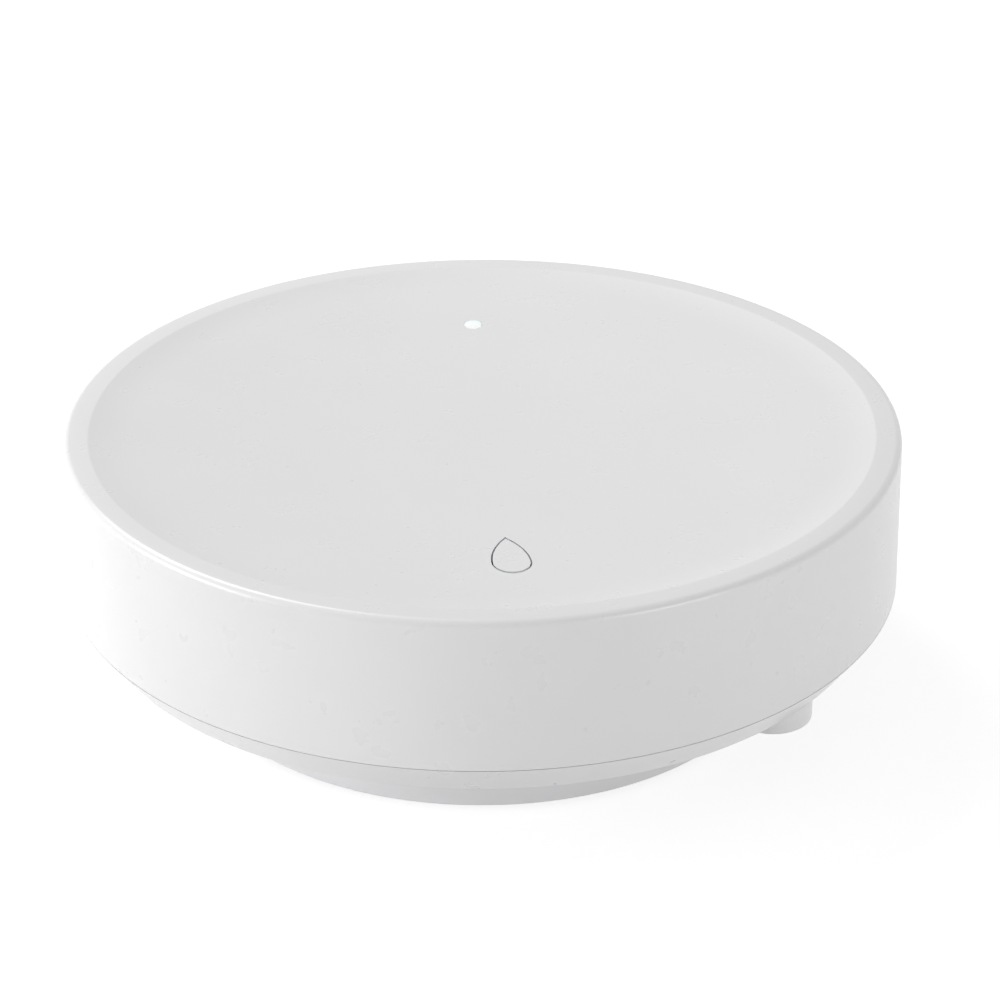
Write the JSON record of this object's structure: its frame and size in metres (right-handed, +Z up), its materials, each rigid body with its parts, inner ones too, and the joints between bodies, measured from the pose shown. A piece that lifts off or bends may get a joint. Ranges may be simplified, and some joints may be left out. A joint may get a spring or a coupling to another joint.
{
  "type": "water leak sensor",
  "caption": "Round battery-powered water leak sensor with a dished top, a drop-shaped push button, a status light and a twist-off base that carries metal sensing contacts.",
  "frame": {"origin": "centre of the underside, on the plane of the foot pads", "axes": "+Z up along the housing's centre line, -Y towards the push button, +X to the right of a viewer who faces the button"},
  "size_m": [0.08, 0.08, 0.0262],
  "materials": {
    "housing_white": "satin moulded white plastic",
    "base_white": "satin moulded white plastic",
    "button_white": "satin moulded white plastic",
    "inner_white": "plain moulded plastic",
    "lens_clear": "milky clear plastic, polished",
    "led_white": "clear resin over a white cup",
    "seal_rubber": "smooth silicone rubber",
    "pad_rubber": "grey silicone rubber, slightly dull",
    "screw_steel": "nickel plated",
    "spring_steel": "nickel plated sheet",
    "shield_steel": "tinned sheet",
    "contact_gold": "gold plated",
    "board_green": "glass fibre board with solder mask",
    "module_blue": "glass fibre board with solder mask",
    "tray_black": "fine textured plastic",
    "switch_black": "plain moulded plastic",
    "sounder_black": "plain moulded plastic",
    "cell_can": "plain sleeve over a metal can, no print",
    "capacitor_can": "bright drawn can",
    "probe_resin": "dipped resin bead on tinned leads"
  },
  "bodies": {
    "housing": {"top_shell": "housing_white", "lower_shell": "housing_white", "button_guide": "inner_white", "switch_body": "switch_black", "light_pipe": "lens_clear", "status_led": "led_white", "housing_seal": "seal_rubber", "housing_screws": "screw_steel", "circuit_board": "board_green", "board_screws": "screw_steel", "battery_tray": "tray_black", "battery_cell": "cell_can", "positive_contact": "spring_steel", "negative_contact": "spring_steel", "radio_board": "module_blue", "radio_shield": "shield_steel", "buzzer": "sounder_black", "storage_capacitor": "capacitor_can", "temperature_probe": "probe_resin", "spring_pins": "contact_gold"},
    "base": {"base_cover": "base_white", "base_seal": "seal_rubber", "floor_contacts": "contact_gold", "contact_seals": "seal_rubber", "contact_nuts": "screw_steel", "foot_pads": "pad_rubber"},
    "button": {"drop_button": "button_white", "button_seal": "seal_rubber", "switch_plunger": "switch_black"}
  },
  "joints": [
    {"name": "base_twist", "type": "hinge", "parent": "housing", "child": "base", "pos_m": [0, 0, 0], "axis": [0, 0, -1], "range_deg": [0, 25]},
    {"name": "button_press", "type": "slide", "parent": "housing", "child": "button", "axis": [0, 0, -1], "range_m": [0, 0.0003], "stiffness_N_per_m": 4000, "springref_m": -0.00005}
  ]
}
